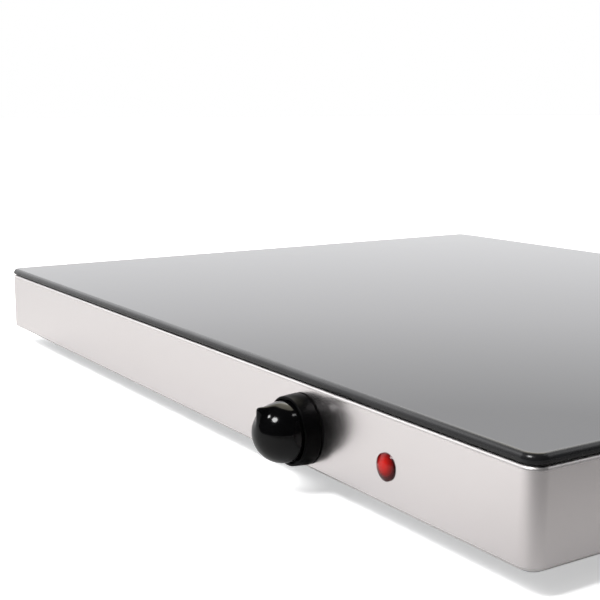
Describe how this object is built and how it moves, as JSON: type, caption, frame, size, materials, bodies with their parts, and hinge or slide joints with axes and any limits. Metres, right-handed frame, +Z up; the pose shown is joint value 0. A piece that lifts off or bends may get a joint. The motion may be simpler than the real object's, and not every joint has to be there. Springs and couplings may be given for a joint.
{
  "type": "glass-topped electric hot plate",
  "caption": "Flat electric hot plate: black glass top on a satin steel casing, with a round thermostat knob and a red pilot lamp on its front face.",
  "frame": {"origin": "on the surface that the feet stand on, under the middle of the whole outline, knob and cable gland included", "axes": "+X to the right, +Y to the back, +Z up; the face with the knob looks along -Y"},
  "size_m": [0.6, 0.5278, 0.059],
  "materials": {
    "black_glass": "polished black glass with a ground and rounded edge",
    "steel": "satin stainless steel, finely brushed along its length",
    "silicone": "black silicone bead",
    "galvanised": "galvanised sheet, dull with a faint spangle",
    "zinc": "bright zinc plating",
    "foot_rubber": "moulded black rubber",
    "aluminium": "mill-finish aluminium sheet",
    "element_sheath": "heat-darkened stainless sheath",
    "ceramic": "unglazed steatite",
    "mineral_board": "pressed mineral fibre board",
    "aluminised": "aluminised steel sheet",
    "brown_moulding": "brown phenolic moulding",
    "spindle_steel": "turned steel",
    "brass": "plain brass",
    "copper": "drawn copper",
    "knob_black": "glossy black phenolic moulding",
    "spring_steel": "spring steel",
    "lens_red": "translucent red moulding, glossy",
    "lamp_red": "red heat-resistant moulding",
    "neon_glass": "clear glass tube",
    "gland_nylon": "black nylon, fine moulded texture",
    "gland_rubber": "soft black rubber sleeve",
    "black_moulding": "black phenolic moulding",
    "wire_brown": "brown silicone insulation",
    "wire_white": "white silicone insulation",
    "wire_blue": "blue silicone insulation",
    "wire_green": "green and yellow striped silicone insulation"
  },
  "bodies": {
    "chassis": {"glass_top": "black_glass", "glass_seal": "silicone", "housing": "steel", "base_plate": "galvanised", "base_screws": "zinc", "foot_front_left": "foot_rubber", "foot_front_right": "foot_rubber", "foot_rear_left": "foot_rubber", "foot_rear_right": "foot_rubber", "foot_screws": "zinc", "foot_nuts": "zinc", "heat_spreader": "aluminium", "heating_element": "element_sheath", "element_bushes": "ceramic", "element_pins": "zinc", "element_straps": "aluminised", "insulation_board": "mineral_board", "reflector_tray": "aluminised", "tray_rails": "galvanised", "tray_rivets": "zinc", "thermostat_plate": "zinc", "thermostat_case": "brown_moulding", "thermostat_nut": "zinc", "thermostat_tabs": "brass", "diaphragm_capsule": "brass", "capillary_tube": "copper", "sensor_bulb": "copper", "bulb_straps": "aluminised", "thermal_cutout": "black_moulding", "cutout_bracket": "aluminised", "lamp_lens": "lens_red", "lamp_body": "lamp_red", "lamp_neon": "neon_glass", "lamp_clip": "spring_steel", "gland_body": "gland_nylon", "gland_locknut": "gland_nylon", "gland_cap": "gland_nylon", "gland_seal": "gland_rubber", "terminal_block": "ceramic", "terminal_screws": "brass", "earth_stud": "zinc", "earth_nut": "brass", "live_wire": "wire_brown", "switched_wire": "wire_white", "element_link_wire": "wire_white", "neutral_wire": "wire_blue", "lamp_leads": "wire_white", "earth_wire": "wire_green"},
    "knob": {"knob_body": "knob_black", "knob_spring": "spring_steel", "thermostat_spindle": "spindle_steel", "thermostat_cam": "brass"}
  },
  "joints": [
    {"name": "knob_turn", "type": "hinge", "parent": "chassis", "child": "knob", "pos_m": [0.14, -0.23705, 0.031], "axis": [0, 1, 0], "range_deg": [0, 270]}
  ]
}
